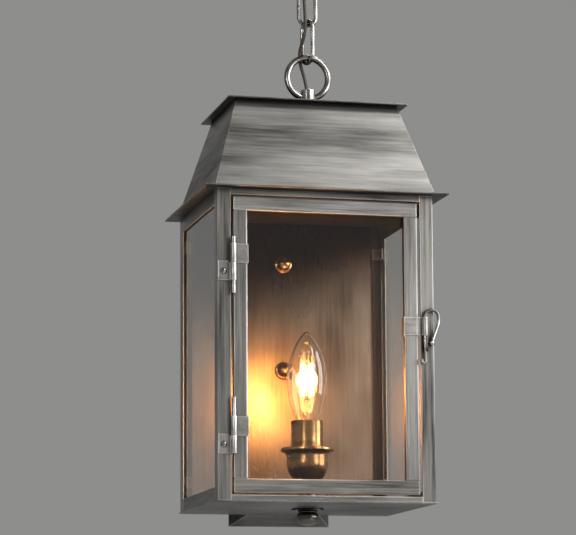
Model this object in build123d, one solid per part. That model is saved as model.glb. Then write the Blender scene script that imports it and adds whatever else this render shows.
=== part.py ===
from build123d import *
import math
import os

os.makedirs("parts", exist_ok=True)

# Hanging lantern of antiqued sheet metal: a rectangular glazed body with a hinged front door,
# a tapered roof, a loop and two chain links up to a ceiling canopy, and a shallow wall pan behind.
# Millimetres. X is the width, Y runs to the back (the door faces -Y), Z is up.
# The origin is the middle of the canopy where it meets the ceiling.
# Inside this file heights are counted from the top of the lantern's floor plate. The finished
# solids are lowered by CEILING_Z when they are written, and those of the body go left by HANG_X.

CEILING_Z = 516.0          # ceiling above the floor plate
HANG_X = 4.5               # the loop, chain and canopy stand this far right of the body's middle

# --- body frame
BODY_W = 188.5             # outside of the corner posts
BODY_D = 154.0
BODY_H = 262.5             # floor plate to eave plate
POST_LEG = 11.5            # corner angle
POST_T = 1.6
RAIL_H = 11.5
TOP_RAIL_H = 12.7
SILL_H = 4.4
LINTEL_H = 5.3
PLATE_T = 1.2              # floor, eave, cap and back sheets
FLOOR_LIP = 1.5            # floor plate proud of the posts
EAVE_LIP = 12.0            # eave plate proud of the posts
GLASS_T = 2.0
GLASS_GAP = 0.2            # between a side pane and its posts
PANE_SHORT = 5.0           # side panes end this far inside the front and back
CLIP_H = 9.0               # bent tabs that hold the panes
CLIP_T = 1.0
HOLE_EASE = 0.2            # clearance holes round a threaded tube

# --- roof
ROOF_BASE_W = 193.4
ROOF_BASE_D = 158.0
ROOF_TOP_W = 143.4
ROOF_TOP_D = 99.0
ROOF_H = 82.2
ROOF_T = 1.0
CAP_W = 159.4
CAP_D = 115.0

# --- door
DOOR_W = 161.0
DOOR_Z0 = 6.0
DOOR_Z1 = 256.0
DOOR_BAR = 12.0            # face width of stiles and rails
DOOR_T = 6.0
EDGE = 0.6                 # rubbed-down arris on bars
LAP = 4.5                  # glass behind the door bars

# --- hinges
HINGE_X = -81.1            # pin axis
HINGE_Y = -79.8
PIN_R = 1.9
KNUCKLE_BORE = 1.95
KNUCKLE_R = 2.45
SHEET = 0.7                # strap and leaf metal
LEAF_H = 16.5
KNUCKLE_H = 14.9
STRAP_RISE = 15.2          # strap foot above leaf foot
STRAP_H = 16.2
SCREW_IN = 5.2             # screw from the post's edge
SCREW_UP = 7.8             # and from the leaf's foot
SCREW_HOLE_R = 1.6
SCREW_R = 1.5
UPPER_LEAF_Z = 183.8
LOWER_LEAF_Z = 38.3
UPPER_PIN = (172.4, 220.9)
LOWER_PIN = (38.3, 85.8)

# --- latch
LATCH_X = 85.4             # wire axis
LATCH_Y = -80.2
LATCH_Z0 = 141.8
LATCH_Z1 = 157.2
WIRE_R = 1.3
BALL_R = 2.5               # ball on the end of the wire
BALL_X = 91.2
BALL_Z = 135.2
KEEPER_H = 13.5

# --- suspension
LOOP_R = 18.5              # lamp ring centre line
LOOP_WIRE_R = 2.75
LOOP_Z = 379.2
COLLAR_R = 6.25
COLLAR_TOP = 368.5
WIREWAY_R = 2.5
LINK_L = 41.5              # outside length
LINK_W = 18.8              # outside width
LINK_WIRE_R = 1.75
LINK_SLACK = 0.3
LOWER_LINK_TURN = 23.0     # link plane from the YZ plane
EYE_R = 12.8               # canopy eye centre line
EYE_WIRE_R = 2.25
CANOPY_R = 60.0
CANOPY_H = 24.0
CANOPY_T = 1.2
CABLE_R = 1.5

# --- lamp
LAMP_X = 1.8               # its threaded tube stands this far right of the body's middle
CUP_RIM_R = 23.1
SLEEVE_R = 14.0
SLEEVE_TOP = 75.2
SLEEVE_FOOT = 46.0
BULB_R = 17.5
BULB_TIP = 153.4
NIPPLE_R = 4.75
NIPPLE_BORE = 3.25
HOLDER_R = 11.6
CAP_R = 6.95               # bulb's screw cap
CAP_FOOT = 38.6            # its contact, resting on the lampholder's floor
GLASS_FOOT = BULB_TIP - 88

# --- wall pan
PAN_FRONT_W = 64.6
PAN_REAR_W = 92.6
PAN_DEEP = 20.0
PAN_Z0 = -0.5
PAN_Z1 = 246.0
PAN_DROP = 10.0            # the rear rim stands out this far below and above
NUT_HEIGHTS = (128.2, 224.9)
WALL_HOLES = 70.0
STUD_R = 2.5

HALF_W = BODY_W / 2
HALF_D = BODY_D / 2
FRONT = -HALF_D
BACK = HALF_D
BACK_FACE = BACK + PLATE_T
ROOF_Z0 = BODY_H + PLATE_T
ROOF_Z1 = ROOF_Z0 + ROOF_H
CAP_TOP = ROOF_Z1 + PLATE_T
INNER_X = HALF_W - POST_LEG
PANE_X = HALF_W - POST_T - GLASS_GAP - GLASS_T


def block(x0, x1, y0, y1, z0, z1):
    """Box between two corners."""
    size = (x1 - x0, y1 - y0, z1 - z0)
    return Pos((x0 + x1) / 2, (y0 + y1) / 2, (z0 + z1) / 2) * Box(*size)


def rod(r, z0, z1, x=0.0, y=0.0):
    """Upright round bar."""
    return Pos(x, y, (z0 + z1) / 2) * Cylinder(r, z1 - z0)


def tube(r, bore, z0, z1, x=0.0, y=0.0):
    """Upright round tube."""
    return rod(r, z0, z1, x, y) - rod(bore, z0 - 1, z1 + 1, x, y)


def rod_y(r, y0, y1, x, z):
    """Round bar along Y."""
    return Pos(x, (y0 + y1) / 2, z) * Rot(90, 0, 0) * Cylinder(r, y1 - y0)


def spun(points):
    """Solid turned about the Z axis from (radius, height) points."""
    outline = Polyline(*[(r, 0, z) for r, z in points], close=True)
    return revolve(make_face(outline), Axis.Z)


def frustum(w0, d0, w1, d1, z0, z1):
    """Four-sided tapered block."""
    low = Pos(0, 0, z0) * Rectangle(w0, d0)
    high = Pos(0, 0, z1) * Rectangle(w1, d1)
    return loft(Sketch() + [low, high])


def save(name, *solids, shift=-HANG_X):
    """Move the piece to its place under the ceiling and write its STEP file."""
    placed = [Pos(shift, 0, -CEILING_Z) * s for s in solids]
    piece = placed[0] if len(placed) == 1 else Compound(children=placed)
    export_step(piece, f"parts/{name}.step")


def save_hung(name, *solids):
    """Write a piece of the suspension, which stays on the canopy's own axis."""
    save(name, *solids, shift=0.0)


def save_lamp(name, *solids):
    """Write a piece that is built round the lamp's threaded tube."""
    save(name, *solids, shift=LAMP_X - HANG_X)


# ---------------------------------------------------------------- body frame

def corner_post(side, end):
    """Angle iron post; side is -1 left or 1 right, end is -1 front or 1 rear."""
    post = block(0, POST_LEG, 0, POST_T, 0, BODY_H) + block(0, POST_T, 0, POST_LEG, 0, BODY_H)
    post = fillet(post.edges().filter_by(Axis.Z).group_by(Axis.X)[0].sort_by(Axis.Y)[0], EDGE)
    if side > 0:
        post = mirror(post, Plane.YZ)
    if end > 0:
        post = mirror(post, Plane.XZ)
    return Pos(side * HALF_W, end * HALF_D, 0) * post


def hinge_screw_place(leaf_z):
    """Centre of the screw that holds a hinge leaf to the left front post."""
    return (-HALF_W + SCREW_IN, leaf_z + SCREW_UP)


for side, side_name in ((-1, "left"), (1, "right")):
    for end, end_name in ((-1, "front"), (1, "rear")):
        post = corner_post(side, end)
        if side < 0 and end < 0:
            for leaf_z in (UPPER_LEAF_Z, LOWER_LEAF_Z):
                sx, sz = hinge_screw_place(leaf_z)
                post -= rod_y(SCREW_HOLE_R, FRONT - 1, FRONT + 3, sx, sz)
        save(f"post_{end_name}_{side_name}", post)

rail_run = HALF_D - POST_LEG
pane_run = HALF_D - PANE_SHORT
for side, side_name in ((-1, "left"), (1, "right")):
    edges = sorted((side * HALF_W, side * (HALF_W - POST_T)))
    save(f"side_rail_bottom_{side_name}", block(*edges, -rail_run, rail_run, 0, RAIL_H))
    save(f"side_rail_top_{side_name}", block(*edges, -rail_run, rail_run, BODY_H - TOP_RAIL_H, BODY_H))
    pane = sorted((side * (PANE_X + GLASS_T), side * PANE_X))
    save(f"side_glass_{side_name}", block(*pane, -pane_run, pane_run, 0.5, BODY_H - 0.5))

save("front_sill", block(-INNER_X, INNER_X, FRONT, FRONT + POST_T, 0, SILL_H))
save("front_lintel", block(-INNER_X, INNER_X, FRONT, FRONT + POST_T, BODY_H - LINTEL_H, BODY_H))

floor_edge = HALF_W + FLOOR_LIP
floor = block(-floor_edge, floor_edge, FRONT - FLOOR_LIP, BACK, -PLATE_T, 0)
save("floor_plate", floor - rod(NIPPLE_R + HOLE_EASE, -3, 3, LAMP_X))

back = block(-HALF_W, HALF_W, BACK, BACK_FACE, -PLATE_T, BODY_H)
for z in NUT_HEIGHTS:
    back -= rod_y(STUD_R + 0.1, BACK - 2, BACK_FACE + 2, 0, z)
save("back_plate", back)


def pane_clip(side, end, z):
    """Bent tab soldered inside a corner post that keeps a side pane against its post."""
    face = PANE_X - 0.1
    wall = HALF_D - POST_T
    clip = block(face - CLIP_T, face, wall - 10, wall, z, z + CLIP_H)
    clip += block(face - 7, face, wall - CLIP_T, wall, z, z + CLIP_H)
    if side < 0:
        clip = mirror(clip, Plane.YZ)
    if end < 0:
        clip = mirror(clip, Plane.XZ)
    return clip


clips = [pane_clip(side, end, z) for side in (-1, 1) for end in (-1, 1) for z in (22, 232)]
save("side_glass_clips", *clips)

# ---------------------------------------------------------------- roof

eave = block(-HALF_W - EAVE_LIP, HALF_W + EAVE_LIP, FRONT - EAVE_LIP, BACK + EAVE_LIP, BODY_H, ROOF_Z0)
save("eave_plate", eave)

roof = frustum(ROOF_BASE_W, ROOF_BASE_D, ROOF_TOP_W, ROOF_TOP_D, ROOF_Z0, ROOF_Z1)
inner_cut = frustum(ROOF_BASE_W - 2 * ROOF_T, ROOF_BASE_D - 2 * ROOF_T,
                    ROOF_TOP_W - 2 * ROOF_T, ROOF_TOP_D - 2 * ROOF_T, ROOF_Z0, ROOF_Z1)
save("roof_shell", roof - inner_cut)

cap = block(-CAP_W / 2, CAP_W / 2, -CAP_D / 2, CAP_D / 2, ROOF_Z1, CAP_TOP)
save("cap_plate", cap - rod(NIPPLE_R + HOLE_EASE, ROOF_Z1 - 1, CAP_TOP + 1, HANG_X))

# lamp loop: a cast ring and collar in one, hollow for the cable, with a threaded tail
ring = Pos(0, 0, LOOP_Z) * Rot(90, 0, 0) * Torus(LOOP_R, LOOP_WIRE_R)
collar = spun([(0, CAP_TOP), (8.4, CAP_TOP), (8.4, CAP_TOP + 2.2), (COLLAR_R, CAP_TOP + 4.2),
               (COLLAR_R, COLLAR_TOP - 0.8), (COLLAR_R - 0.8, COLLAR_TOP), (0, COLLAR_TOP)])
loop = ring + collar + rod(NIPPLE_R, ROOF_Z1 - 14, CAP_TOP)
save_hung("lamp_loop", loop - rod(WIREWAY_R, ROOF_Z1 - 20, COLLAR_TOP + 1))


def hex_nut(across, bore, z0, z1):
    """Plain hexagon nut on the Z axis."""
    body = Pos(0, 0, z0) * extrude(RegularPolygon(across / 2, 6, major_radius=False), z1 - z0)
    return body - rod(bore, z0 - 1, z1 + 1)


save_hung("lamp_loop_nut", hex_nut(15, NIPPLE_R, ROOF_Z1 - 6.5, ROOF_Z1 - 1.5))
save_hung("lamp_loop_washer", tube(11, NIPPLE_R + 0.1, ROOF_Z1 - 1.5, ROOF_Z1))

# ---------------------------------------------------------------- lamp

save_lamp("finial_washer", tube(14, NIPPLE_R + 0.1, -PLATE_T - 1.5, -PLATE_T))

finial_top = -PLATE_T - 1.5
finial = spun([(0, finial_top), (9.4, finial_top), (9.4, finial_top - 4.4), (8.6, finial_top - 8),
               (6.6, finial_top - 11), (3.4, finial_top - 12.6), (0, finial_top - 13)])
save_lamp("finial_nut", finial - rod(NIPPLE_R, finial_top - 9, finial_top + 1))

save_lamp("lamp_nipple", tube(NIPPLE_R - 0.05, NIPPLE_BORE, finial_top - 8.5, 34))

cup_outline = [(NIPPLE_R + 0.15, 0), (12.5, 0), (12.5, 1.6), (8.6, 4.5), (8.2, 8.5), (9.0, 13.5),
               (11.6, 19.5), (14.9, 25.2), (17.1, 31), (18.2, 38), (18.4, 43.5), (19.4, 47.2),
               (CUP_RIM_R, 50.2), (CUP_RIM_R, 51.6), (18.4, 48.8), (17.3, 44.2), (17.1, 38.2),
               (16.0, 32), (13.7, 26), (10.9, 20.6), (9.4, 16.8), (NIPPLE_R + 0.15, 16)]
save_lamp("lamp_cup", spun(cup_outline))

save_lamp("lampholder", rod(HOLDER_R, 24, 58) - rod(CAP_R + 0.25, CAP_FOOT, 60) - rod(NIPPLE_R, 23, 34.5))
save_lamp("candle_sleeve", tube(SLEEVE_R, SLEEVE_R - 0.9, SLEEVE_FOOT, SLEEVE_TOP))

screw_cap = tube(CAP_R, CAP_R - 0.65, 43, GLASS_FOOT) + rod(CAP_R, 42, 43)
save_lamp("bulb_cap", screw_cap + rod(2.4, CAP_FOOT, 42))

bulb_side = [(0, BULB_TIP), (2.6, BULB_TIP - 1.2), (4.8, BULB_TIP - 4), (7.3, BULB_TIP - 7.6),
             (9.8, BULB_TIP - 11.6), (13.4, BULB_TIP - 20), (16.1, BULB_TIP - 29),
             (BULB_R, BULB_TIP - 42), (16.7, BULB_TIP - 55), (14.9, BULB_TIP - 64),
             (12.5, BULB_TIP - 70.5), (10.4, BULB_TIP - 76), (9.3, BULB_TIP - 81),
             (8.6, BULB_TIP - 85), (7.2, GLASS_FOOT)]


def bulb_envelope(inset):
    """Candle-shaped glass; inset is how far inside the outer wall."""
    side = [(max(r - inset, 0), z - (inset if r == 0 else 0)) for r, z in bulb_side]
    line = Spline(*[(r, 0, z) for r, z in side], tangents=((1, 0, -0.15), (-0.6, 0, -1)))
    foot = side[-1]
    edge = line + Polyline((foot[0], 0, foot[1]), (0, 0, foot[1]), (0, 0, side[0][1]))
    return revolve(make_face(edge), Axis.Z)


save_lamp("bulb_glass", bulb_envelope(0) - bulb_envelope(0.8))
stem = rod(6.0, BULB_TIP - 87, BULB_TIP - 83) + rod(2.2, BULB_TIP - 83, BULB_TIP - 58)
save_lamp("bulb_stem", stem + rod(0.9, BULB_TIP - 58, BULB_TIP - 26))
filaments = [rod(0.8, BULB_TIP - 57, BULB_TIP - 28, 6.2 * math.cos(a), 6.2 * math.sin(a))
             for a in (math.radians(45 + 90 * k) for k in range(4))]
save_lamp("bulb_filaments", *filaments)

# ---------------------------------------------------------------- wall pan


def pan_block(inset, y0, y1):
    """Tapered block that widens towards the wall."""
    def section(y):
        t = (y - BACK_FACE) / PAN_DEEP
        width = PAN_FRONT_W + (PAN_REAR_W - PAN_FRONT_W) * t - 2 * inset
        low = PAN_Z0 - PAN_DROP * t + inset
        high = PAN_Z1 + PAN_DROP * t - inset
        face = Rectangle(width, high - low)
        return Plane(origin=(0, y, (low + high) / 2), x_dir=(1, 0, 0), z_dir=(0, 1, 0)) * face
    return loft(Sketch() + [section(y0), section(y1)])


WALL_Y = BACK_FACE + PAN_DEEP
pan = pan_block(0, BACK_FACE, WALL_Y) - pan_block(PLATE_T, BACK_FACE + PLATE_T, WALL_Y)
BAR_MID = sum(NUT_HEIGHTS) / 2
wall_bar = block(-9, 9, WALL_Y - 3, WALL_Y, BAR_MID - 66, BAR_MID + 66)
for z in NUT_HEIGHTS:
    pan -= rod_y(STUD_R + 0.1, BACK_FACE - 1, BACK_FACE + 3, 0, z)
    wall_bar -= rod_y(STUD_R, WALL_Y - 4, WALL_Y + 1, 0, z)
for z in (BAR_MID - WALL_HOLES / 2, BAR_MID + WALL_HOLES / 2):
    wall_bar -= rod_y(2.4, WALL_Y - 4, WALL_Y + 1, 0, z)
save("wall_pan", pan)
save("wall_bar", wall_bar)
save("wall_studs", *[rod_y(STUD_R - 0.02, BACK - 6.5, WALL_Y - 0.2, 0, z) for z in NUT_HEIGHTS])


def dome_nut(z):
    """Flanged dome nut that closes on the inside face of the back plate."""
    dome = Pos(0, 0, 3.2) * Sphere(6) & rod(7, 3.2, 10)
    nut = rod(8, 0, 1.4) + rod(6, 1.4, 3.2) + dome - rod(STUD_R, -1, 6.8)
    return Pos(0, BACK, z) * Rot(90, 0, 0) * nut


save("back_dome_nuts", *[dome_nut(z) for z in NUT_HEIGHTS])

# ---------------------------------------------------------------- door

DX = DOOR_W / 2


def door_bar(x0, x1, z0, z1):
    """Solid door bar with its front arrises rubbed down."""
    bar = block(x0, x1, FRONT, FRONT + DOOR_T, z0, z1)
    return chamfer(bar.faces().sort_by(Axis.Y)[0].edges(), EDGE)


save("door_rail_top", door_bar(-DX, DX, DOOR_Z1 - DOOR_BAR, DOOR_Z1))
save("door_rail_bottom", door_bar(-DX, DX, DOOR_Z0, DOOR_Z0 + DOOR_BAR))
stile_run = (DOOR_Z0 + DOOR_BAR, DOOR_Z1 - DOOR_BAR)
save("door_stile_left", door_bar(-DX, -DX + DOOR_BAR, *stile_run))
save("door_stile_right", door_bar(DX - DOOR_BAR, DX, *stile_run))

glass_y = FRONT + DOOR_T + 0.1
glass_x = DX - DOOR_BAR + LAP
save("door_glass", block(-glass_x, glass_x, glass_y, glass_y + GLASS_T,
                         stile_run[0] - LAP, stile_run[1] + LAP))


def door_clip(side, z):
    """Bent tab behind a stile that holds the door glass."""
    hold = glass_y + GLASS_T + 0.1
    side_x = glass_x + 0.2
    back_y = FRONT + DOOR_T
    clip = block(side_x, DX - 2, back_y, back_y + CLIP_T, z, z + CLIP_H)
    clip += block(side_x, side_x + CLIP_T, back_y, hold + CLIP_T, z, z + CLIP_H)
    clip += block(glass_x - 3.2, side_x + CLIP_T, hold, hold + CLIP_T, z, z + CLIP_H)
    return clip if side > 0 else mirror(clip, Plane.YZ)


save("door_glass_clips", *[door_clip(side, z) for side in (-1, 1) for z in (40, 126, 212)])

# ---------------------------------------------------------------- hinges


def hinge_strap(leaf_z):
    """Door half of a hinge: sheet wrapped over the stile, rolled round the pin."""
    z0 = leaf_z + STRAP_RISE
    z1 = z0 + STRAP_H
    inner = -DX + DOOR_BAR
    plate = block(HINGE_X, inner + SHEET, FRONT - SHEET, FRONT, z0, z1)
    wrap = block(inner, inner + SHEET, FRONT - SHEET, FRONT + DOOR_T, z0, z1)
    web = block(HINGE_X, HINGE_X + KNUCKLE_R, HINGE_Y, FRONT, z0, z1)
    return (plate + wrap + web + rod(KNUCKLE_R, z0, z1, HINGE_X, HINGE_Y)
            - rod(KNUCKLE_BORE, z0 - 1, z1 + 1, HINGE_X, HINGE_Y))


def hinge_leaf(leaf_z):
    """Post half of a hinge: a plate screwed to the post, rolled round the pin."""
    z1 = leaf_z + KNUCKLE_H
    plate = block(-HALF_W + 0.6, HINGE_X - 3.4, FRONT - SHEET, FRONT, leaf_z, leaf_z + LEAF_H)
    reach = block(HINGE_X - 4.4, HINGE_X, FRONT - SHEET, FRONT, leaf_z, z1)
    web = block(HINGE_X - KNUCKLE_R, HINGE_X, HINGE_Y, FRONT, leaf_z, z1)
    sx, sz = hinge_screw_place(leaf_z)
    leaf = plate + reach + web + rod(KNUCKLE_R, leaf_z, z1, HINGE_X, HINGE_Y)
    leaf -= rod(KNUCKLE_BORE, leaf_z - 1, z1 + 1, HINGE_X, HINGE_Y)
    return leaf - rod_y(SCREW_HOLE_R, FRONT - 2, FRONT + 1, sx, sz)


def hinge_screw(leaf_z):
    """Round-headed slotted screw through leaf and post, with its end in a flat nut."""
    sx, sz = hinge_screw_place(leaf_z)
    face = FRONT - SHEET
    head = Pos(sx, face, sz) * Rot(90, 0, 0) * (Pos(0, 0, -1.25) * Sphere(3.1) & rod(4, 0, 3))
    head -= block(sx - 4, sx + 4, face - 3, face - 1.15, sz - 0.35, sz + 0.35)
    nut = rod_y(2.8, FRONT + POST_T, FRONT + POST_T + 2, sx, sz)
    return head + rod_y(SCREW_R, face, FRONT + POST_T + 2.6, sx, sz) + nut


for name, leaf_z in (("upper", UPPER_LEAF_Z), ("lower", LOWER_LEAF_Z)):
    save(f"hinge_strap_{name}", hinge_strap(leaf_z))
    save(f"hinge_leaf_{name}", hinge_leaf(leaf_z))
save("hinge_screws", hinge_screw(UPPER_LEAF_Z), hinge_screw(LOWER_LEAF_Z))


def hinge_pin(ends):
    """Straight pin with domed-off ends."""
    pin = rod(PIN_R, ends[0], ends[1], HINGE_X, HINGE_Y)
    return chamfer(pin.edges().filter_by(GeomType.CIRCLE), 0.4)


save("hinge_pins", hinge_pin(UPPER_PIN), hinge_pin(LOWER_PIN))

# ---------------------------------------------------------------- latch

KEEPER_Z1 = LATCH_Z0 - 0.4
wrap_x = DX - DOOR_BAR
strap = block(wrap_x - SHEET, DX - 0.3, FRONT - SHEET, FRONT, LATCH_Z0, LATCH_Z1)
strap += block(wrap_x - SHEET, wrap_x, FRONT - SHEET, FRONT + DOOR_T, LATCH_Z0, LATCH_Z1)
strap += block(DX - 0.9, LATCH_X, FRONT - 1.5, FRONT - 0.8, LATCH_Z0, LATCH_Z1)
strap += block(DX - 1.6, DX - 0.3, FRONT - 1.5, FRONT, LATCH_Z0, LATCH_Z1)
strap += rod(KNUCKLE_R, LATCH_Z0, LATCH_Z1, LATCH_X, LATCH_Y)
strap -= rod(WIRE_R + 0.06, LATCH_Z0 - 1, LATCH_Z1 + 1, LATCH_X, LATCH_Y)
save("latch_strap", strap)

# wire pin: small curl at the foot, straight shank, crook over the top, ball on its end
crook_x = LATCH_X + 12.0
crook_top = 163.5
wire_route = [(LATCH_X - 3.2, 121.2), (LATCH_X - 3.2, 118.1), (LATCH_X, 118.1), (LATCH_X, crook_top),
              (crook_x, crook_top), (crook_x, 152.5), (BALL_X, BALL_Z + 0.4)]
wire_path = FilletPolyline(*[(x, LATCH_Y, z) for x, z in wire_route], radius=[1.55, 1.55, 5.9, 5.9, 14])
wire_section = Plane(origin=wire_path @ 0, z_dir=wire_path % 0) * Circle(WIRE_R)
wire = sweep(wire_section, path=wire_path)
save("latch_wire", wire + Pos(BALL_X, LATCH_Y, BALL_Z) * Sphere(BALL_R))

# keeper: half-round cradle on the right post that the wire's shank drops into
cradle = tube(WIRE_R + 1.3, WIRE_R + 0.35, KEEPER_Z1 - KEEPER_H, KEEPER_Z1, LATCH_X, LATCH_Y)
cradle -= block(LATCH_X - 6, LATCH_X + 1.2, LATCH_Y - 6, LATCH_Y, 100, 160)
cradle -= block(LATCH_X - 6, LATCH_X - 0.9, LATCH_Y - 1.5, LATCH_Y + 1.5, 100, 160)
cradle += block(LATCH_X + 1.7, LATCH_X + 2.6, LATCH_Y, FRONT, KEEPER_Z1 - KEEPER_H, KEEPER_Z1)
save("latch_keeper", cradle)

# ---------------------------------------------------------------- chain


def link(bottom, turn):
    """Oval chain link of round wire standing on its end; turn is its plane from YZ."""
    half = LINK_W / 2 - LINK_WIRE_R
    straight = LINK_L / 2 - LINK_W / 2
    line = Line((0, half, -straight), (0, half, straight))
    line += ThreePointArc((0, half, straight), (0, 0, straight + half), (0, -half, straight))
    line += Line((0, -half, straight), (0, -half, -straight))
    line += ThreePointArc((0, -half, -straight), (0, 0, -straight - half), (0, half, -straight))
    section = Pos(0, half, 0) * Circle(LINK_WIRE_R)
    body = sweep(Pos(0, 0, -straight) * section, path=Wire(line.edges()))
    bump = Pos(0, half, -3.5) * Cylinder(LINK_WIRE_R + 0.35, 2.6)
    return Pos(0, 0, bottom + LINK_L / 2) * Rot(0, 0, turn) * (body + bump)


LINK_WIRE_D = 2 * LINK_WIRE_R
LOWER_LINK_Z = LOOP_Z + LOOP_R - LOOP_WIRE_R - LINK_SLACK - LINK_WIRE_D
UPPER_LINK_Z = LOWER_LINK_Z + LINK_L - LINK_WIRE_D - LINK_SLACK - LINK_WIRE_D
EYE_Z = UPPER_LINK_Z + LINK_L - LINK_WIRE_D - LINK_SLACK - EYE_WIRE_R + EYE_R
save_hung("link_lower", link(LOWER_LINK_Z, LOWER_LINK_TURN))
save_hung("link_upper", link(UPPER_LINK_Z, 90))

# ---------------------------------------------------------------- canopy

CANOPY_FOOT = CEILING_Z - CANOPY_H
dish = [(0, CANOPY_FOOT), (21, CANOPY_FOOT), (24, CANOPY_FOOT + 0.8), (27, CANOPY_FOOT + 3.2),
        (38, CANOPY_FOOT + 5.6), (48, CANOPY_FOOT + 10.4), (55, CANOPY_FOOT + 16.4),
        (58.4, CANOPY_FOOT + 21.2), (CANOPY_R, CANOPY_FOOT + 22.4), (CANOPY_R, CEILING_Z)]
lining = [(CANOPY_R - CANOPY_T, CEILING_Z), (CANOPY_R - CANOPY_T, CANOPY_FOOT + 22.8),
          (57.4, CANOPY_FOOT + 22.0), (54.2, CANOPY_FOOT + 17.4), (47.4, CANOPY_FOOT + 11.5),
          (37.6, CANOPY_FOOT + 6.8), (26.2, CANOPY_FOOT + 4.4), (23.4, CANOPY_FOOT + 2.0),
          (20.6, CANOPY_FOOT + CANOPY_T), (0, CANOPY_FOOT + CANOPY_T)]
save_hung("canopy_dish", spun(dish + lining) - rod(NIPPLE_R + HOLE_EASE, CANOPY_FOOT - 1, CANOPY_FOOT + 3))

ceiling_bar = block(-46, 46, -9, 9, CEILING_Z - 3, CEILING_Z) - rod(NIPPLE_R, CEILING_Z - 4, CEILING_Z + 1)
for x in (-WALL_HOLES / 2, WALL_HOLES / 2):
    ceiling_bar -= rod(2.4, CEILING_Z - 4, CEILING_Z + 1, x)
save_hung("ceiling_bar", ceiling_bar)
save_hung("canopy_nipple", tube(NIPPLE_R - 0.02, NIPPLE_BORE, CANOPY_FOOT - 9, CEILING_Z - 0.3))
save_hung("canopy_nut", hex_nut(15, NIPPLE_R, CANOPY_FOOT + CANOPY_T, CANOPY_FOOT + CANOPY_T + 4.5))

eye_ring = Pos(0, 0, EYE_Z) * Rot(0, 90, 0) * Torus(EYE_R, EYE_WIRE_R)
hub_foot = EYE_Z + EYE_R - 6.5
hub = spun([(0, hub_foot), (5.6, hub_foot), (6.4, hub_foot + 0.8), (6.4, CANOPY_FOOT - 3.6),
            (10.5, CANOPY_FOOT - 1.6), (10.5, CANOPY_FOOT), (0, CANOPY_FOOT)])
eye = eye_ring + hub - rod(NIPPLE_R, CANOPY_FOOT - 9, CANOPY_FOOT + 1)
save_hung("canopy_eye", eye - rod(WIREWAY_R, hub_foot - 10, CANOPY_FOOT + 1))

# ---------------------------------------------------------------- cable

# The cable leaves the canopy eye, threads the two links and goes down into the lamp loop's collar.
# It is in three lengths that meet face to face, one for each joint it passes.
cable_points = [(0, 0, 490.0), (-0.3, -0.2, 477.5), (-4.9, -4.4, 463.0), (-3.4, -3.2, 449.0),
                (-2.8, -4.4, 432.0), (-3.4, -4.2, 417.0), (-7.4, 6.4, 399.5), (-0.4, 0.3, 372.5),
                (0, 0, 357.0)]


def cable_length(points):
    """Round cable along straight runs joined by arcs; returns the solid and prints its arcs."""
    vectors = [Vector(*p) for p in points]
    radii = []
    for a, b, c in zip(vectors, vectors[1:], vectors[2:]):
        turn = math.radians((b - a).get_angle(c - b))
        shorter = min((b - a).length, (c - b).length)
        radii.append(0.45 * shorter / math.tan(turn / 2))
    path = FilletPolyline(*points, radius=radii)
    section = Plane(origin=path @ 0, z_dir=path % 0) * Circle(CABLE_R)
    solid = sweep(section, path=path)
    expected = math.pi * CABLE_R ** 2 * path.length
    print("cable radii", [round(r, 1) for r in radii], "length", round(path.length, 1),
          "volume ratio", round(solid.volume / expected, 4))
    return solid


def midpoint(a, b):
    """Point half way between two points."""
    return tuple((p + q) / 2 for p, q in zip(a, b))


first_end = midpoint(cable_points[3], cable_points[4])
second_end = midpoint(cable_points[5], cable_points[6])
save_hung("cable_upper", cable_length(cable_points[:4] + [first_end]))
save_hung("cable_middle", cable_length([first_end] + cable_points[4:6] + [second_end]))
save_hung("cable_lower", cable_length([second_end] + cable_points[6:]))
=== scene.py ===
import bmesh
import bpy
import math
from mathutils import Matrix, Vector


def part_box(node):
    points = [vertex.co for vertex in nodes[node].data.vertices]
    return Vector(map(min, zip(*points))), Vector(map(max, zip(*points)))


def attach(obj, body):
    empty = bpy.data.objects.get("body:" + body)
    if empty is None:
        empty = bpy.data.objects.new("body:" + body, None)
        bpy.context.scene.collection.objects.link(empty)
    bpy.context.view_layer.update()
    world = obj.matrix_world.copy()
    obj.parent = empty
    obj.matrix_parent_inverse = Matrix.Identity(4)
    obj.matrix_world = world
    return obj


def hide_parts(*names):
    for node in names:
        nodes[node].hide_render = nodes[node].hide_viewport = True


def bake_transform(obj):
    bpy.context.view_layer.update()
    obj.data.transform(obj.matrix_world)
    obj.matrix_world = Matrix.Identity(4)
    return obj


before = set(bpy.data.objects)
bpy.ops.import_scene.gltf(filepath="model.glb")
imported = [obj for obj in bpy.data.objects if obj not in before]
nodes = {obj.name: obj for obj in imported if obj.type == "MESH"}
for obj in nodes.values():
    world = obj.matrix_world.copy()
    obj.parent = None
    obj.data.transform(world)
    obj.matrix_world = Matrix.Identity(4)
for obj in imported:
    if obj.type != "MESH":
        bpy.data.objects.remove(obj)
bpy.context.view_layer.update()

scene = bpy.context.scene

# ------------------------------------------------------------------ camera
# A long lens standing a little below the lantern's floor, in front and to the left of it,
# so that the door, the left side and the underside of the eave all show.

FLOOR = -0.516                     # top of the lantern's floor plate
LENS_MM = 162.7
camera_place = Vector((-0.5577, -2.1766, FLOOR - 0.1621))
camera_turn = 0.2425               # to the right of straight on, radians
camera_rise = 0.1326
camera_roll = -0.0058

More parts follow.
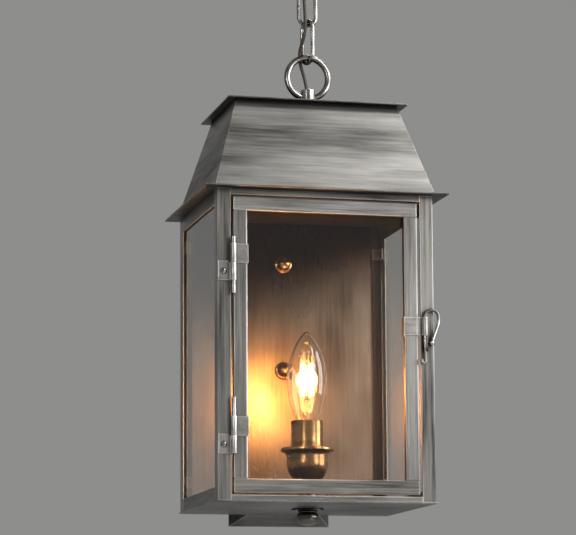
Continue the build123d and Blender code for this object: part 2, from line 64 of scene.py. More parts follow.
forward = Vector((math.sin(camera_turn) * math.cos(camera_rise),
                  math.cos(camera_turn) * math.cos(camera_rise), math.sin(camera_rise)))
level_right = Vector((math.cos(camera_turn), -math.sin(camera_turn), 0))
level_up = level_right.cross(forward)
right = level_right * math.cos(camera_roll) + level_up * math.sin(camera_roll)
up = right.cross(forward)
camera_data = bpy.data.cameras.new("camera")
camera_data.lens = LENS_MM
camera_data.sensor_width = 36
camera_data.sensor_fit = "HORIZONTAL"
camera_data.shift_y = 0.143
camera_data.clip_start = 0.05
camera = bpy.data.objects.new("camera", camera_data)
camera.matrix_world = Matrix.Translation(camera_place) @ Matrix((right, up, -forward)).transposed().to_4x4()
scene.collection.objects.link(camera)
scene.camera = camera

# ------------------------------------------------------------------ cable
# The supply cable comes out of the canopy eye, winds down through both links and goes into the
# collar of the lamp loop. It is a 3 mm round cable in a dark braided cover, in three lengths
# that meet end to end.

CABLE_R = 0.0015
cable_route = [(0, 0, 490.0), (-0.3, -0.2, 477.5), (-4.9, -4.4, 463.0), (-3.4, -3.2, 449.0),
               (-2.8, -4.4, 432.0), (-3.4, -4.2, 417.0), (-7.4, 6.4, 399.5), (-0.4, 0.3, 372.5),
               (0, 0, 357.0)]
cable_route = [Vector(p) / 1000 + Vector((0, 0, FLOOR)) for p in cable_route]


def new_material(name):
    """Empty node material: returns it, its nodes, a link function and its shader."""
    material = bpy.data.materials.new(name)
    material.use_nodes = True
    tree = material.node_tree
    return material, tree.nodes, tree.links.new, tree.nodes["Principled BSDF"]


def grain(n, link, scale, detail=5.0, roughness=0.6):
    """Noise stretched to a grain: scale is how many ripples to a metre along X, Y and Z."""
    place = n.new("ShaderNodeTexCoord")
    stretch = n.new("ShaderNodeMapping")
    stretch.inputs["Scale"].default_value = scale
    noise = n.new("ShaderNodeTexNoise")
    noise.inputs["Scale"].default_value = 1.0
    noise.inputs["Detail"].default_value = detail
    noise.inputs["Roughness"].default_value = roughness
    link(place.outputs["Object"], stretch.inputs["Vector"])
    link(stretch.outputs["Vector"], noise.inputs["Vector"])
    return noise.outputs["Fac"]


def ramp(n, link, source, stops):
    """Colours laid along a value: stops are (place, colour)."""
    node = n.new("ShaderNodeValToRGB")
    while len(node.color_ramp.elements) < len(stops):
        node.color_ramp.elements.new(0.5)
    for element, (place, colour) in zip(node.color_ramp.elements, stops):
        element.position = place
        element.color = (*colour, 1)
    link(source, node.inputs["Fac"])
    return node.outputs["Color"]


def ridges(n, link, shader, source, depth):
    """Raises the surface by a value, depth in metres."""
    bump = n.new("ShaderNodeBump")
    bump.inputs["Strength"].default_value = 1.0
    bump.inputs["Distance"].default_value = depth
    link(source, bump.inputs["Height"])
    link(bump.outputs["Normal"], shader.inputs["Normal"])


def cable_cover():
    """Dark braid: fine bands that cross, a little lighter on the ridges."""
    material, n, link, shader = new_material("cable_cover")
    bands = grain(n, link, (900, 900, 1500), 2.0)
    link(ramp(n, link, bands, [(0.3, (0.010, 0.008, 0.006)), (0.7, (0.075, 0.058, 0.044))]),
         shader.inputs["Base Color"])
    shader.inputs["Roughness"].default_value = 0.55
    ridges(n, link, shader, bands, 0.0002)
    return material


def cable_length(name, points):
    """One length of cable on a smooth line through the given points."""
    curve = bpy.data.curves.new(name + "_line", "CURVE")
    curve.dimensions = "3D"
    spline = curve.splines.new("NURBS")
    spline.points.add(len(points) - 1)
    for control, p in zip(spline.points, points):
        control.co = (*p, 1)
    spline.order_u = 3
    spline.use_endpoint_u = True
    spline.resolution_u = 12
    line = bpy.data.objects.new(name + "_line", curve)
    scene.collection.objects.link(line)
    bpy.context.view_layer.update()
    path = [v.co.copy() for v in bpy.data.meshes.new_from_object(line).vertices]
    curve.bevel_depth = CABLE_R
    curve.bevel_resolution = 5
    bpy.context.view_layer.update()
    piece = bpy.data.objects.new(name, bpy.data.meshes.new_from_object(line))
    bpy.data.objects.remove(line)
    scene.collection.objects.link(piece)
    piece.data.materials.clear()
    piece.data.materials.append(cable_material)
    for face in piece.data.polygons:
        face.use_smooth = True
    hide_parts(name.replace("_cover", ""))
    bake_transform(piece)


cable_material = cable_cover()
upper_cut = (cable_route[3] + cable_route[4]) / 2
lower_cut = (cable_route[5] + cable_route[6]) / 2
cable_length("cable_upper_cover", cable_route[:4] + [upper_cut])
cable_length("cable_middle_cover", [upper_cut, *cable_route[4:6], lower_cut])
cable_length("cable_lower_cover", [lower_cut, *cable_route[6:]])

# ------------------------------------------------------------------ canopy
# Ceiling canopy: a spun dish in antiqued pewter held up by a cast eye on a short threaded tube,
# which hangs from a plated steel bar screwed to the outlet box.


def paint_inside_shade(n, link, tone, mottle, colours):
    """Swaps to a painted shade colour, a near-black brown, on what lies inside the body's walls."""
    post_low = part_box("post_front_left")[0]
    far_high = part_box("post_rear_right")[1]
    middle = [(a + b) / 2 for a, b in zip(post_low, far_high)]
    half = [(b - a) / 2 - 0.0007 for a, b in zip(post_low, far_high)]
    place = n.new("ShaderNodeTexCoord")
    offset = n.new("ShaderNodeVectorMath")
    offset.operation = "SUBTRACT"
    offset.inputs[1].default_value = middle
    link(place.outputs["Object"], offset.inputs[0])
    size = n.new("ShaderNodeVectorMath")
    size.operation = "ABSOLUTE"
    link(offset.outputs[0], size.inputs[0])
    axes = n.new("ShaderNodeSeparateXYZ")
    link(size.outputs[0], axes.inputs[0])
    within = None
    for axis, reach in zip("XYZ", (half[0], half[1], half[2] + 0.0009)):
        less = n.new("ShaderNodeMath")
        less.operation = "LESS_THAN"
        less.inputs[1].default_value = reach
        link(axes.outputs[axis], less.inputs[0])
        if within is None:
            within = less.outputs[0]
            continue
        product = n.new("ShaderNodeMath")
        product.operation = "MULTIPLY"
        link(within, product.inputs[0])
        link(less.outputs[0], product.inputs[1])
        within = product.outputs[0]
    brown = ramp(n, link, mottle, [(0.36, colours[0]), (0.64, colours[1])])
    swap = n.new("ShaderNodeMix")
    swap.data_type = "RGBA"
    link(within, swap.inputs["Factor"])
    link(tone, swap.inputs["A"])
    link(brown, swap.inputs["B"])
    return swap.outputs["Result"]


def antiqued(name, dark, light, scale, roughness=0.36, wear_and_sheen=0.6, cloud=(16, 16, 16),
             lines_share=0.35, relief=0.00004, inside=None, metal=0.8, detail=6.0):
    """Brushed and antiqued metal: lines with the grain, cloudy darkening, painted shade in corners
    and gaps, and rubbed edges whose lighter metal is partly a painted highlight.
    inside is a second colour, painted shade for the faces that look into the lantern's body."""
    material, n, link, shader = new_material(name)
    lines = grain(n, link, scale, detail, 0.62)
    clouds = grain(n, link, cloud, min(detail, 5.0), 0.55)
    both = n.new("ShaderNodeMix")
    both.inputs[0].default_value = 1 - lines_share
    link(lines, both.inputs[2])
    link(clouds, both.inputs[3])
    tone = ramp(n, link, both.outputs[0], [(0.36, dark), (0.64, light)])
    # Painted shade: ambient occlusion darkens the colour in corners, creases and gaps between parts.
    corners = n.new("ShaderNodeAmbientOcclusion")
    corners.samples = 6
    corners.inputs["Distance"].default_value = 0.006
    open_to = n.new("ShaderNodeMapRange")
    open_to.inputs["From Min"].default_value = 0.35
    open_to.inputs["From Max"].default_value = 0.85
    open_to.inputs["To Min"].default_value = 0.18
    link(corners.outputs["AO"], open_to.inputs["Value"])
    corner_shaded = n.new("ShaderNodeVectorMath")
    corner_shaded.operation = "SCALE"
    link(tone, corner_shaded.inputs[0])
    link(open_to.outputs["Result"], corner_shaded.inputs["Scale"])

    # Rubbed edges: lighter metal along every edge, partly real wear and partly a painted highlight where the
    # edges catch the light.
    rounded = n.new("ShaderNodeBevel")
    rounded.inputs["Radius"].default_value = 0.0011
    rounded.samples = 6
    flat = n.new("ShaderNodeNewGeometry")
    turn = n.new("ShaderNodeVectorMath")
    turn.operation = "DOT_PRODUCT"
    link(rounded.outputs["Normal"], turn.inputs[0])
    link(flat.outputs["True Normal"], turn.inputs[1])
    edge = n.new("ShaderNodeMapRange")
    edge.inputs["From Min"].default_value = 0.995
    edge.inputs["From Max"].default_value = 0.93
    edge.inputs["To Max"].default_value = wear_and_sheen
    link(turn.outputs["Value"], edge.inputs["Value"])
    spread = n.new("ShaderNodeMapRange")
    spread.inputs["From Min"].default_value = 0.25
    spread.inputs["From Max"].default_value = 0.55
    link(clouds, spread.inputs["Value"])
    patchy = n.new("ShaderNodeMath")
    patchy.operation = "MULTIPLY"
    link(edge.outputs["Result"], patchy.inputs[0])
    link(spread.outputs["Result"], patchy.inputs[1])

    rubbed_and_highlit = n.new("ShaderNodeMix")
    rubbed_and_highlit.data_type = "RGBA"
    rubbed_and_highlit.inputs["B"].default_value = (*[min(1.0, c * 1.3 + 0.30) for c in light], 1)
    link(patchy.outputs[0], rubbed_and_highlit.inputs["Factor"])
    link(corner_shaded.outputs[0], rubbed_and_highlit.inputs["A"])
    finish = rubbed_and_highlit.outputs["Result"]
    if inside:
        finish = paint_inside_shade(n, link, finish, both.outputs[0], inside)
    link(finish, shader.inputs["Base Color"])

    gloss = n.new("ShaderNodeMapRange")
    gloss.inputs["From Min"].default_value = 0.3
    gloss.inputs["From Max"].default_value = 0.7
    gloss.inputs["To Min"].default_value = roughness + 0.10
    gloss.inputs["To Max"].default_value = roughness - 0.08
    link(both.outputs[0], gloss.inputs["Value"])
    link(gloss.outputs["Result"], shader.inputs["Roughness"])
    shader.inputs["Metallic"].default_value = metal
    ridges(n, link, shader, lines, relief)
    return material


def paint(material, *names):
    """Gives CAD nodes their finish."""
    for name in names:
        for place in nodes[name].material_slots:
            place.material = material


PEWTER_DARK = (0.040, 0.037, 0.033)
PEWTER_LIGHT = (0.36, 0.343, 0.318)

canopy_metal = antiqued("canopy_metal", PEWTER_DARK, PEWTER_LIGHT, (260, 260, 260))
plated_steel = antiqued("plated_steel", (0.32, 0.32, 0.31), (0.55, 0.55, 0.54),
                        (90, 500, 500), 0.4, 0.3)
aged_brass = antiqued("aged_brass", (0.10, 0.058, 0.026), (0.46, 0.29, 0.13),
                      (300, 300, 60), 0.3, 0.4)
paint(canopy_metal, "canopy_dish")
paint(plated_steel, "ceiling_bar", "canopy_nut")
paint(aged_brass, "canopy_nipple")

# ------------------------------------------------------------------ chain
# A cast canopy eye and two oval links bent from round wire and brazed, each hanging in the one
# above at a turn to it. The wire is polished after antiquing.

chain_metal = antiqued("chain_metal", (0.13, 0.12, 0.11), (0.42, 0.40, 0.37), (60, 60, 60), 0.24, 0.0,
                       cloud=(60, 60, 60), lines_share=0.5, relief=0.000002, metal=1.0, detail=1.0)


def bent_wire(name, line, across, radius, material, body, stands_for, around=20):
    """Closed ring of round wire in one plane: line in mm from the floor, across is the plane's
    normal, and radius is one number or one for each point."""
    count = len(line)
    radii = radius if isinstance(radius, list) else [radius] * count
    verts = []
    for k, p in enumerate(line):
        before = line[k - 1]
        after = line[(k + 1) % count]
        outward = (Vector(after) - Vector(before)).normalized().cross(across)
        for m in range(around):
            a = 2 * math.pi * m / around
            spot = Vector(p) + radii[k] * (outward * math.cos(a) + across * math.sin(a))
            verts.append(spot / 1000 + Vector((0, 0, FLOOR)))
    faces = []
    for k in range(count):
        low = k * around
        high = (k + 1) % count * around
        faces += [(low + m, low + (m + 1) % around, high + (m + 1) % around, high + m)
                  for m in range(around)]
    mesh = bpy.data.meshes.new(name)
    mesh.from_pydata(verts, [], faces)
    mesh.materials.append(material)
    fix_normals(mesh)
    mesh.shade_smooth()
    piece = bpy.data.objects.new(name, mesh)
    scene.collection.objects.link(piece)
    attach(piece, body)
    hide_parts(*stands_for)


def fix_normals(mesh):
    """Turns every face outwards."""
    work = bmesh.new()
    work.from_mesh(mesh)
    bmesh.ops.recalc_face_normals(work, faces=work.faces)
    work.to_mesh(mesh)
    work.free()


LINK_LONG = 41.5
LINK_WIDE = 18.8
LINK_WIRE = 1.75
WELD_SWELL = 0.35
WELD_BELOW = 3.5                   # the weld sits this far below the link's middle


def chain_link(name, middle, turn, body):
    """Oval link standing on end, with the swelling of its weld; turn is its plane from YZ."""
    half = LINK_WIDE / 2 - LINK_WIRE
    straight = (LINK_LONG - LINK_WIDE) / 2
    side = Vector((-math.sin(turn), math.cos(turn), 0))
    flat = []
    for end in (1, -1):
        flat += [(half * end, end * straight * k / 12) for k in range(-12, 12)]
        flat += [(end * half * math.cos(a), end * (straight + half * math.sin(a)))
                 for a in (math.pi * k / 20 for k in range(20))]
    line = [side * u + Vector((0, 0, middle + v)) for u, v in flat]
    radii = [LINK_WIRE + (WELD_SWELL * math.exp(-((v + WELD_BELOW) / 1.1) ** 2) if u > half - 0.1 else 0)
             for u, v in flat]
    bent_wire(name, line, Vector((math.cos(turn), math.sin(turn), 0)), radii, chain_metal, body,
              [name.replace("_bent", "")])


chain_link("link_upper_bent", 446.1, math.radians(90), "upper_link")
chain_link("link_lower_bent", 411.9, math.radians(23), "lower_link")
paint(chain_metal, "canopy_eye")

# ------------------------------------------------------------------ lamp loop
# Ring and collar cast in one piece and polished. Its threaded foot goes through the cap and is
# held by a nut and washer inside the roof.


def smooth_stroke(points, steps=6):
    """Points along a smooth line through the given ones."""
    if len(points) < 3:
        return points
    padded = [points[0], *points, points[-1]]
    line = []
    for a, b, c, d in zip(padded, padded[1:], padded[2:], padded[3:]):
        for k in range(steps):
            t = k / steps
            line.append(tuple(0.5 * (2 * q + (r - p) * t + (2 * p - 5 * q + 4 * r - u) * t * t
                                     + (3 * q - p - 3 * r + u) * t ** 3)
                              for p, q, r, u in zip(a, b, c, d)))
    return [*line, points[-1]]


def turned(name, strokes, place, material, body, stands_for, around=72, axis="Z"):
    """Piece turned on a lathe: strokes of (radius, height) in mm, smooth within each one.
    axis "-Y" lays it down so that its height runs to the front."""
    outline = []
    for stroke in strokes:
        for point in smooth_stroke(stroke):
            if not outline or math.dist(point, outline[-1]) > 0.001:
                outline.append(point)
    if math.dist(outline[0], outline[-1]) < 0.001:
        outline.pop()
    closed = outline[0][0] > 0.001 or outline[-1][0] > 0.001
    verts = []
    rings = []
    for r, z in outline:
        if r < 0.001:
            rings.append([len(verts)] * around)
            verts.append((0, 0, z / 1000))
            continue
        rings.append(range(len(verts), len(verts) + around))
        verts += [(r / 1000 * math.cos(a), r / 1000 * math.sin(a), z / 1000)
                  for a in (2 * math.pi * k / around for k in range(around))]
    faces = []
    for low, high in zip(rings, [*rings[1:], rings[0]] if closed else rings[1:]):
        for k in range(around):
            m = (k + 1) % around
            corners = []
            for v in (low[k], low[m], high[m], high[k]):
                if v not in corners:
                    corners.append(v)
            if len(corners) > 2:
                faces.append(corners)
    mesh = bpy.data.meshes.new(name)
    mesh.from_pydata(verts, [], faces)
    if axis == "-Y":
        mesh.transform(Matrix.Rotation(math.radians(90), 4, "X"))
    mesh.transform(Matrix.Translation(place))
    mesh.validate()
    mesh.materials.append(material)
    mesh.shade_smooth()
    mesh.set_sharp_from_angle(angle=math.radians(38))
    piece = bpy.data.objects.new(name, mesh)
    scene.collection.objects.link(piece)
    fix_normals(mesh)
    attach(piece, body)
    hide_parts(*stands_for)
    return piece


RING_R = 18.5
RING_WIRE = 2.75
RING_Z = 379.2
COLLAR_R = 6.25
ring_line = [Vector((RING_R * math.cos(a), 0, RING_Z + RING_R * math.sin(a)))
             for a in (2 * math.pi * k / 96 for k in range(96))]
bent_wire("lamp_loop_ring", ring_line, Vector((0, 1, 0)), RING_WIRE, chain_metal, "lantern",
          ["lamp_loop"], around=28)
turned("lamp_loop_collar",
       [[(2.5, 331.9), (4.7, 331.9)], [(4.7, 331.9), (4.7, 347.1)], [(4.7, 347.1), (8.4, 347.1)],
        [(8.4, 347.1), (8.6, 348.2), (8.2, 349.4), (7.0, 350.3), (6.35, 351.6), (COLLAR_R, 353.5)],
        [(COLLAR_R, 353.5), (COLLAR_R, 367.5)], [(COLLAR_R, 367.5), (6.1, 368.2), (5.4, 368.5)],
        [(5.4, 368.5), (2.5, 368.5)], [(2.5, 368.5), (2.5, 331.9)]],
       (0, 0, FLOOR), chain_metal, "lantern", ["lamp_loop"], around=64)
paint(plated_steel, "lamp_loop_nut", "lamp_loop_washer")

# ------------------------------------------------------------------ roof
# Four tapered faces of sheet metal, soldered at the corners and brushed level, between a flat
# cap and a flat eave plate. The floor plate is flat sheet too.


def ease(name, width, segments=2):
    """Takes the knife edge off a CAD node's corners."""
    weld = nodes[name].modifiers.new("weld", "WELD")
    weld.merge_threshold = 0.00001
    bevel = nodes[name].modifiers.new("ease", "BEVEL")
    bevel.width = width
    bevel.segments = segments
    bevel.limit_method = "ANGLE"
    bevel.angle_limit = math.radians(40)


FINE = 420.0                       # brush lines to a metre, across the grain
LONG = 14.0                        # and along it
# Painted shade: near-black brown for every face that lies inside the body's walls.
INSIDE_SHADE = ((0.004, 0.0025, 0.0013), (0.028, 0.017, 0.009))

roof_metal = antiqued("roof_metal", (0.038, 0.036, 0.033), (0.32, 0.31, 0.29),
                      (LONG, LONG, FINE), 0.38, 0.9, cloud=(5, 5, 30), lines_share=0.3, metal=0.9)
# Painted shade: the cap and eave plates take a much darker copy of the pewter, for undersides turned away
# from the lights.
shaded_sheet_metal = antiqued("shaded_sheet_metal", (0.010, 0.009, 0.008), (0.056, 0.053, 0.049),
                       (LONG, FINE, FINE), 0.42, 0.9, inside=INSIDE_SHADE)
# Painted shade: the floor plate takes a darker copy of the pewter, for its underside.
shaded_floor_metal = antiqued("shaded_floor_metal", (0.020, 0.019, 0.017), (0.105, 0.10, 0.094),
                       (LONG, FINE, FINE), 0.40, 0.9, inside=INSIDE_SHADE)
paint(roof_metal, "roof_shell")
paint(shaded_sheet_metal, "cap_plate", "eave_plate")
paint(shaded_floor_metal, "floor_plate")
ease("roof_shell", 0.0016, 3)
for name in ("cap_plate", "eave_plate", "floor_plate"):
    ease(name, 0.0004)

# ------------------------------------------------------------------ body frame
# Four corner posts of angle with flat rails between them, soldered where they meet. Each bar is
# brushed lengthways, and its inner faces carry painted shade.

post_metal = antiqued("post_metal", (0.034, 0.032, 0.029), (0.31, 0.296, 0.274),
                      (FINE, FINE, LONG), 0.36, 0.9, cloud=(40, 40, 7), lines_share=0.5, inside=INSIDE_SHADE)
rail_metal = antiqued("rail_metal", PEWTER_DARK, PEWTER_LIGHT,
                      (LONG, LONG, FINE), 0.36, 0.9, cloud=(7, 7, 40), lines_share=0.5, inside=INSIDE_SHADE)
posts = [f"post_{end}_{side}" for end in ("front", "rear") for side in ("left", "right")]
side_rails = [f"side_rail_{end}_{side}" for end in ("top", "bottom") for side in ("left", "right")]
paint(post_metal, *posts)
# Painted shade: the side rails take a darker copy of the rail metal, for faces turned away from the lights.
shaded_side_metal = antiqued("shaded_side_metal", (0.025, 0.023, 0.021), (0.19, 0.183, 0.169),
                      (FINE, LONG, FINE), 0.38, 0.9, cloud=(40, 7, 40), lines_share=0.5, inside=INSIDE_SHADE)
paint(rail_metal, "front_sill", "front_lintel")
paint(shaded_side_metal, *side_rails)
for name in [*posts, *side_rails, "front_sill", "front_lintel"]:
    ease(name, 0.0004)

# ------------------------------------------------------------------ back
# Back plate of sheet metal with a brown patina, brushed upright. Two brass dome nuts on studs
# hold it to the shallow pan and the bar behind it.

PATINA = ((0.065, 0.045, 0.031), (0.29, 0.215, 0.155))

patina_and_shade_metal = antiqued("patina_and_shade_metal", *PATINA, (420, 420, 24), 0.30, 0.3, cloud=(14, 14, 9),
                        lines_share=0.15, relief=0.00001, metal=1.0, detail=2.0)
# Painted shade: the wall pan takes a darker copy of the pewter, for its underside.
pan_metal = antiqued("pan_metal", (0.027, 0.025, 0.023), (0.138, 0.132, 0.123),
                     (LONG, FINE, FINE), 0.40, 0.8)


def darker_upwards(material, start, end, colour):
    """Paints shade into a material, darker and browner more and more between two heights above the
    floor, in metres, and a little lower down on the left."""
    n = material.node_tree.nodes
    link = material.node_tree.links.new
    base = n["Principled BSDF"].inputs["Base Color"]
    below = base.links[0].from_socket
    place = n.new("ShaderNodeTexCoord")
    height = n.new("ShaderNodeVectorMath")
    height.operation = "DOT_PRODUCT"
    height.inputs[1].default_value = (-0.25, 0, 1)
    link(place.outputs["Object"], height.inputs[0])
    climb = n.new("ShaderNodeMapRange")
    climb.interpolation_type = "SMOOTHSTEP"
    climb.inputs["From Min"].default_value = FLOOR + start
    climb.inputs["From Max"].default_value = FLOOR + end
    link(height.outputs["Value"], climb.inputs["Value"])
    shade = n.new("ShaderNodeMix")
    shade.data_type = "RGBA"
    shade.blend_type = "MULTIPLY"
    shade.inputs["B"].default_value = (*colour, 1)
    link(climb.outputs["Result"], shade.inputs["Factor"])
    link(below, shade.inputs["A"])
    link(shade.outputs["Result"], base)


# Painted shade: the back plate grows darker and browner towards its top, under the roof, starting a little
# lower on the left.
darker_upwards(patina_and_shade_metal, 0.155, 0.232, (0.13, 0.06, 0.028))
paint(patina_and_shade_metal, "back_plate")
paint(aged_brass, "wall_studs")
paint(pan_metal, "wall_pan")
paint(plated_steel, "wall_bar")

old_brass = antiqued("old_brass", (0.085, 0.042, 0.016), (0.43, 0.228, 0.092), (40, 40, 160), 0.25, 0.0,
                     cloud=(40, 40, 40), relief=0.000002, metal=1.0, detail=1.0)
nuts_low, nuts_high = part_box("back_dome_nuts")
NUT_FLANGE = 0.008
nut_x = (nuts_low[0] + nuts_high[0]) / 2
for label, nut_z in (("lower", nuts_low[2] + NUT_FLANGE), ("upper", nuts_high[2] - NUT_FLANGE)):
    turned(f"dome_nut_{label}",
           [[(0, 0.02), (7.9, 0.02)], [(7.9, 0.02), (8.0, 0.7), (7.4, 1.4)], [(7.4, 1.4), (6.1, 1.7)],
            [(6.1, 1.7), (6.0, 3.2), (5.6, 5.3), (4.6, 7.2), (2.9, 8.5), (1.4, 9.05), (0, 9.2)]],
           (nut_x, nuts_high[1], nut_z), old_brass, "lantern", ["back_dome_nuts"],
           axis="-Y")

# ------------------------------------------------------------------ panes
# Clear sheet glass in both sides and the door, held from the inside by small bent tabs of
# brass.


def clear_glass(name, tint, specular):
    """Glass that lets the lamp's light through."""
    material, n, link, shader = new_material(name)
    shader.inputs["Roughness"].default_value = 0.0
    shader.inputs["Transmission Weight"].default_value = 1.0
    shader.inputs["IOR"].default_value = 1.45
    shader.inputs["Specular IOR Level"].default_value = specular
    tone = grain(n, link, (14, 14, 9), 2.0)
    paler = [min(1, c * 1.01) for c in tint]
    link(ramp(n, link, tone, [(0.3, tint), (0.7, paler)]), shader.inputs["Base Color"])
    through = n.new("ShaderNodeBsdfTransparent")
    ray = n.new("ShaderNodeLightPath")
    either = n.new("ShaderNodeMixShader")
    link(ray.outputs["Is Shadow Ray"], either.inputs[0])
    link(shader.outputs[0], either.inputs[1])
    link(through.outputs[0], either.inputs[2])
    link(either.outputs[0], n["Material Output"].inputs["Surface"])
    return material


pane_glass = clear_glass("pane_glass", (0.985, 0.985, 0.97), 0.04)
paint(pane_glass, "side_glass_left", "side_glass_right", "door_glass")
# Painted shade: the clips are a near-black brass, so that they stay dark inside the lit body.
shaded_clip_brass = antiqued("shaded_clip_brass", (0.016, 0.010, 0.006), (0.10, 0.062, 0.034), (200, 200, 200))
paint(shaded_clip_brass, "side_glass_clips", "door_glass_clips")

# ------------------------------------------------------------------ lamp
# A candle lamp on a threaded tube: a spun brass cup, a moulded lampholder under a drawn brass
# sleeve, and a clear blown bulb that screws in, with four lit filaments on a glass stem.

cup_low, cup_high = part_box("lamp_cup")
lamp_foot = ((cup_low[0] + cup_high[0]) / 2, 0, FLOOR)
turned("lamp_cup_spun",
       [[(5, 0.1), (12.2, 0.1)], [(12.2, 0.1), (12.3, 1.4)],
        [(12.3, 1.4), (9.2, 3.4), (8.2, 7.5), (8.4, 13.5), (9.9, 19.5), (13.0, 24.9), (15.9, 29.3),
         (17.6, 34), (18.1, 38.5), (18.0, 43), (18.4, 46.0), (20.2, 47.7), (22.7, 48.4)],
        [(22.7, 48.4), (23.1, 49.0), (23.1, 50.6), (22.7, 51.3), (21.9, 51.5)],
        [(21.9, 51.5), (19.4, 50.4), (17.6, 48.4), (17.0, 45), (17.1, 39), (16.4, 34.4), (14.6, 30),
         (12.2, 26), (9.4, 21.5), (7.6, 18.2), (5, 17.2)],
        [(5, 17.2), (5, 0.1)]],
       lamp_foot, old_brass, "lantern", ["lamp_cup"], around=96)
turned("candle_sleeve_drawn",
       [[(13.1, 46.1), (13.9, 46.1)], [(13.9, 46.1), (13.9, 73.9)],
        [(13.9, 73.9), (14.0, 74.6), (13.6, 75.1), (13.1, 74.9)], [(13.1, 74.9), (13.1, 46.1)]],
       lamp_foot, old_brass, "lantern", ["candle_sleeve"], around=96)
paint(old_brass, "lamp_nipple", "bulb_cap")


def moulded_black():
    """Moulded plastic, faintly pitted."""
    material, n, link, shader = new_material("moulded_black")
    pits = grain(n, link, (900, 900, 900), 3.0)
    link(ramp(n, link, pits, [(0.35, (0.008, 0.008, 0.008)), (0.65, (0.022, 0.021, 0.020))]),
         shader.inputs["Base Color"])
    shader.inputs["Roughness"].default_value = 0.45
    ridges(n, link, shader, pits, 0.0001)
    return material


def lit_filament():
    """Glowing filament rods, hotter in the middle."""
    material, n, link, shader = new_material("lit_filament")
    beads = grain(n, link, (100, 100, 900), 1.0)
    link(ramp(n, link, beads, [(0.3, (1.0, 0.55, 0.16)), (0.7, (1.0, 0.74, 0.34))]),
         shader.inputs["Emission Color"])
    shader.inputs["Base Color"].default_value = (1.0, 0.6, 0.2, 1)
    shader.inputs["Emission Strength"].default_value = 90.0
    return material


# Painted light: the bulb's glass has a warm tint that stands in for the glow round the lit filaments.
bulb_glow_glass = clear_glass("bulb_glow_glass", (1.0, 0.94, 0.84), 0.4)
filament_glow = lit_filament()
paint(moulded_black(), "lampholder")
turned("bulb_envelope",
       [[(7.2, 65.6), (8.6, 68.4), (9.3, 72.4), (10.4, 77.4), (12.5, 82.9), (14.9, 89.4), (16.7, 98.4),
         (17.5, 111.4), (16.1, 124.4), (13.4, 133.4), (9.8, 141.8), (7.3, 145.8), (4.8, 149.4), (2.6, 152.2),
         (0, 153.4)],
        [(0, 152.6), (2.2, 151.3), (4.3, 148.7), (6.7, 145.3), (9.2, 141.3), (12.8, 133.1), (15.5, 124.2),
         (16.8, 111.4), (16.1, 98.5), (14.3, 89.7), (12, 83.2), (9.9, 77.7), (8.8, 72.6), (8.1, 68.6),
         (6.8, 65.6)],
        [(6.8, 65.6), (7.2, 65.6)]],
       lamp_foot, bulb_glow_glass, "lantern", ["bulb_glass"], around=96)
turned("bulb_stem_drawn",
       [[(0, 66.6), (6.4, 66.6)],
        [(6.4, 66.6), (5.6, 69), (3.4, 73), (2.4, 79), (2.2, 86), (2.9, 91), (2.3, 94.5), (0.9, 97),
         (0.7, 110), (0.8, 124), (1.6, 127), (0, 128.4)]],
       lamp_foot, bulb_glow_glass, "lantern", ["bulb_stem"], around=48)

wire_low, wire_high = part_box("bulb_filaments")
FILAMENTS = 4
FILAMENT_RING = 0.0058             # the filaments' feet stand on a circle of this radius
FILAMENT_LEAN = 0.02               # radians
for k in range(FILAMENTS):
    angle = math.radians(45 + 360 / FILAMENTS * k)
    foot = (lamp_foot[0] + FILAMENT_RING * math.cos(angle), FILAMENT_RING * math.sin(angle))
    rod = turned(f"filament_{k + 1}",
                 [[(0, 0), (0.9, 0.4), (1.1, 1.6)], [(1.1, 1.6), (1.1, 27.4)],
                  [(1.1, 27.4), (0.9, 28.6), (0, 29)]],
                 (0, 0, 0), filament_glow, "lantern", ["bulb_filaments"], around=16)
    tilt = Matrix.Rotation(-FILAMENT_LEAN, 4, Vector((-math.sin(angle), math.cos(angle), 0)))
    rod.data.transform(Matrix.Translation((foot[0], foot[1], wire_low[2])) @ tilt)

glow = bpy.data.lights.new("lamp_glow", "POINT")
glow.energy = 3.3
glow.color = (1.0, 0.44, 0.10)
glow.shadow_soft_size = 0.011
lamp_glow = bpy.data.objects.new("lamp_glow", glow)
lamp_glow.location = (lamp_foot[0], 0, (wire_low[2] + wire_high[2]) / 2)
scene.collection.objects.link(lamp_glow)
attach(lamp_glow, "lantern")

# ------------------------------------------------------------------ finial
# A turned dark metal nut and its washer, screwed on the lower end of the lamp's threaded tube
# under the floor. They clamp the cup, the floor and the tube together.

dark_cast = antiqued("dark_cast", (0.018, 0.017, 0.015), (0.12, 0.112, 0.10), (60, 60, 60), 0.28, 0.0,
                     cloud=(60, 60, 60), relief=0.000002, metal=1.0, detail=1.0)
finial_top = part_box("finial_nut")[1][2]
turned("finial_turned",
       [[(0, 0), (8.4, 0)], [(8.4, 0), (8.6, -1.2), (8.0, -1.9)],
        [(8.0, -1.9), (9.2, -3.6), (9.4, -5.6), (8.9, -8.2), (7.2, -10.8), (4.2, -12.5), (0, -13)]],
       (lamp_foot[0], 0, finial_top), dark_cast, "lantern", ["finial_nut"], around=96)
paint(dark_cast, "finial_washer")

# ------------------------------------------------------------------ door
# Two stiles and two rails of flat bar, butted and soldered, each brushed lengthways. They hold
# the door's own pane.

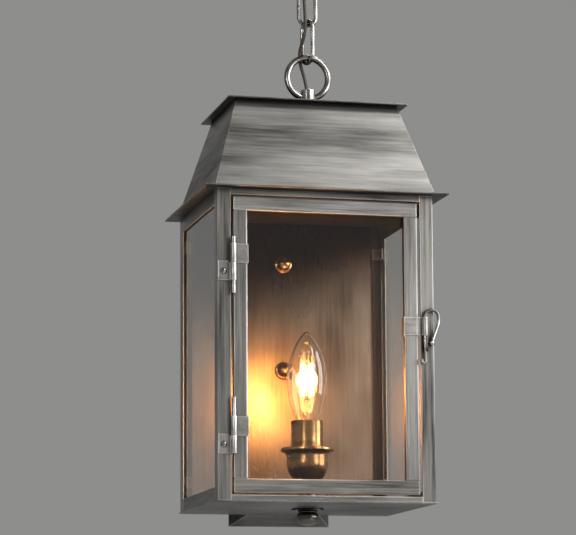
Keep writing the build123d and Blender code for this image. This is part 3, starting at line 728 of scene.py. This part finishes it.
# Painted light: the right stile and the top rail take lighter copies of the frame metal, where more light
# falls on them.
lit_stile_metal = antiqued("lit_stile_metal", (0.075, 0.071, 0.065), (0.37, 0.358, 0.337),
                       (FINE, FINE, LONG), 0.36, 0.9, cloud=(40, 40, 7), lines_share=0.5, inside=INSIDE_SHADE)
lit_top_metal = antiqued("lit_top_metal", (0.07, 0.066, 0.061), (0.42, 0.407, 0.385),
                     (LONG, LONG, FINE), 0.36, 0.9, cloud=(7, 7, 40), lines_share=0.5, inside=INSIDE_SHADE)
paint(post_metal, "door_stile_left")
paint(lit_stile_metal, "door_stile_right")
paint(lit_top_metal, "door_rail_top")
paint(rail_metal, "door_rail_bottom")
for name in ("door_stile_left", "door_stile_right", "door_rail_top", "door_rail_bottom"):
    ease(name, 0.0007, 3)

# ------------------------------------------------------------------ hinges
# Two hinges of sheet metal: a strap soldered round the door's stile and a leaf screwed to the
# post, both rolled round a long polished pin.

hinge_metal = antiqued("hinge_metal", (0.09, 0.085, 0.078), (0.42, 0.40, 0.375),
                       (120, 120, 120), 0.33, 0.65, cloud=(40, 40, 40), inside=INSIDE_SHADE)
pin_metal = antiqued("pin_metal", (0.16, 0.15, 0.14), (0.46, 0.44, 0.41),
                     (60, 60, 60), 0.24, 0.0, cloud=(60, 60, 60), relief=0.000002, metal=1.0, detail=1.0)
hinge_plates = [f"hinge_{part}_{end}" for part in ("strap", "leaf") for end in ("upper", "lower")]
paint(hinge_metal, *hinge_plates)
paint(pin_metal, "hinge_pins", "hinge_screws")
for name in hinge_plates:
    ease(name, 0.0002)

# ------------------------------------------------------------------ latch
# A strap soldered round the right stile and rolled into a knuckle, which guides a wire with a
# crook for a handle. The wire drops into a small keeper on the post.

latch_metal = antiqued("latch_metal", (0.13, 0.124, 0.115), (0.42, 0.405, 0.38),
                       (30, 30, 300), 0.36, 0.9, cloud=(50, 50, 50), inside=INSIDE_SHADE)
paint(latch_metal, "latch_strap")
# Painted shade: the keeper takes the finial's near-black metal, standing in for the shade it sits in.
paint(dark_cast, "latch_keeper")
ease("latch_strap", 0.0003)
paint(pin_metal, "latch_wire")

# ------------------------------------------------------------------ studio
# A plain pale floor well below the lantern, six soft panels of light round it, and grey
# surroundings for the metal to reflect.


def pale_floor():
    """Matt pale paint, slightly mottled."""
    material, n, link, shader = new_material("pale_floor")
    mottle = grain(n, link, (3, 3, 3), 4.0)
    link(ramp(n, link, mottle, [(0.3, (0.60, 0.60, 0.59)), (0.7, (0.66, 0.66, 0.65))]),
         shader.inputs["Base Color"])
    shader.inputs["Roughness"].default_value = 0.8
    return material


floor_mesh = bpy.data.meshes.new("studio_floor")
REACH = 6.0
DROP = -1.9
floor_corners = [(-REACH, -REACH, DROP), (REACH, -REACH, DROP), (REACH, REACH, DROP), (-REACH, REACH, DROP)]
floor_mesh.from_pydata(floor_corners, [], [(0, 1, 2, 3)])
studio_floor = bpy.data.objects.new("studio_floor", floor_mesh)
scene.collection.objects.link(studio_floor)
studio_floor.data.materials.append(pale_floor())

LANTERN_MIDDLE = Vector((0, 0, -0.34))


def panel(name, place, width, height, power):
    """Soft light panel turned to the lantern."""
    light = bpy.data.lights.new(name, "AREA")
    light.shape = "RECTANGLE"
    light.size = width
    light.size_y = height
    light.energy = power
    lamp = bpy.data.objects.new(name, light)
    lamp.location = place
    lamp.rotation_euler = (LANTERN_MIDDLE - Vector(place)).to_track_quat("-Z", "Y").to_euler()
    scene.collection.objects.link(lamp)


panel("panel_right", (2.9, -1.5, 0.6), 3.4, 2.8, 165)
panel("panel_above", (1.35, -1.5, 1.75), 0.7, 0.7, 20)
panel("panel_front", (1.15, -1.9, 0.1), 0.5, 1.2, 8)
panel("panel_left", (-1.5, -2.0, 0.1), 0.4, 0.9, 15)
panel("panel_low", (1.2, -1.8, -1.4), 0.8, 0.5, 2)
panel("panel_back", (1.2, 2.3, 1.7), 1.2, 0.9, 25)

world = bpy.data.worlds.new("studio")
world.use_nodes = True
world.node_tree.nodes["Background"].inputs["Color"].default_value = (0.27, 0.27, 0.265, 1)
scene.world = world
scene.view_settings.view_transform = "Standard"
